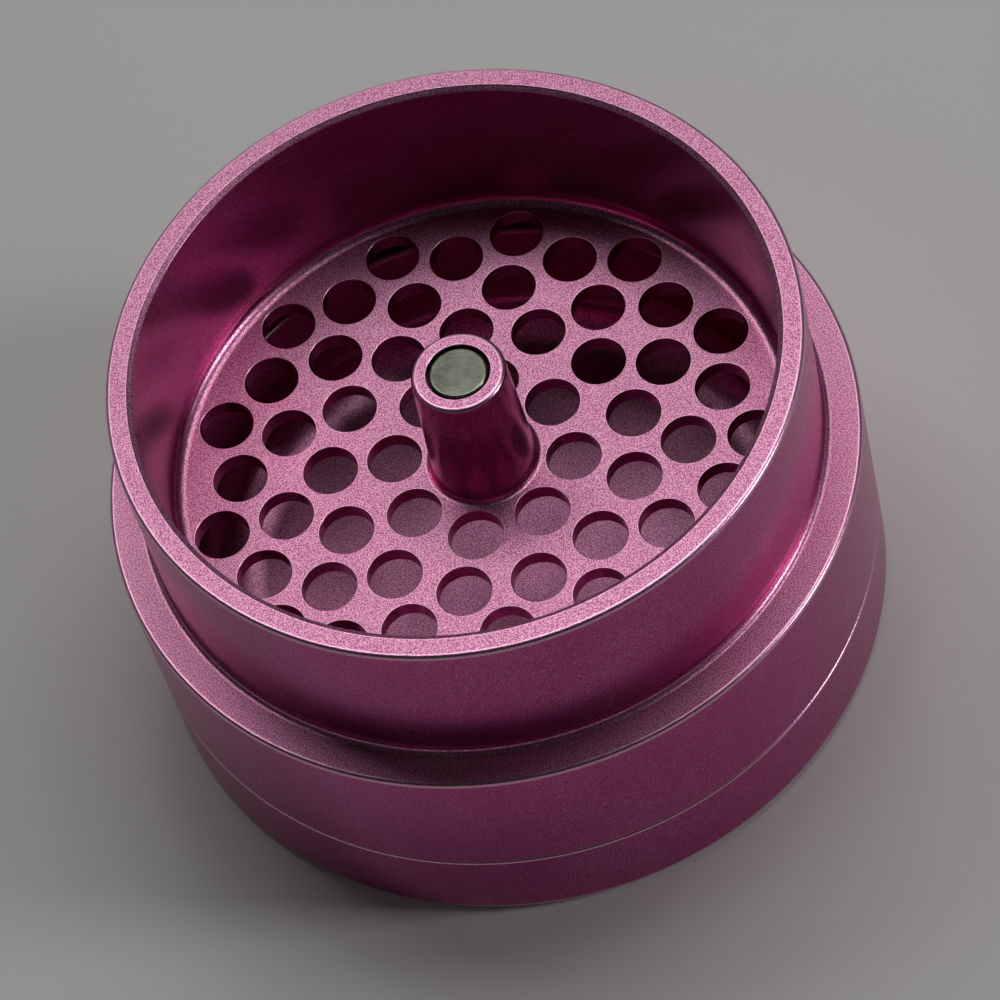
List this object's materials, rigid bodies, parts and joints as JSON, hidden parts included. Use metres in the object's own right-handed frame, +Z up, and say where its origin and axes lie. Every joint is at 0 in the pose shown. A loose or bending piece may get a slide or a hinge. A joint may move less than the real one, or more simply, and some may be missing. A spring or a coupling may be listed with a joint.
{
  "type": "hand grinder",
  "caption": "Round screw-together hand grinder with its lid off: a thin-walled chamber with a holed milling plate and magnet-tipped centre post, over a threaded catch cup.",
  "frame": {"origin": "centre of the flat base, at table height", "axes": "+Z up along the turning axis; +X passes over a hole of the second and fourth rings of the milling plate"},
  "size_m": [0.063, 0.063, 0.0362],
  "materials": {
    "anodised_body": "bead-blasted, pink anodised",
    "anodised_cup": "bead-blasted, pink anodised",
    "nickel_plate": "satin nickel plate",
    "silicone": "matte silicone"
  },
  "bodies": {
    "cup": {"catch_cup": "anodised_cup"},
    "seal": {"skirt_seal_ring": "silicone"},
    "chamber": {"chamber_body": "anodised_body", "post_magnet": "nickel_plate"}
  },
  "joints": [
    {"name": "chamber_climb", "type": "slide", "parent": "cup", "child": "seal", "axis": [0, 0, 1], "range_m": [0, 0.0036]},
    {"name": "chamber_turn", "type": "hinge", "parent": "seal", "child": "chamber", "pos_m": [0, 0, 0.0085], "axis": [0, 0, 1], "range_deg": [0, 540]}
  ],
  "couplings": [
    {"joint": "chamber_climb", "follows": "chamber_turn", "m_per_rad": 0.00038197}
  ]
}
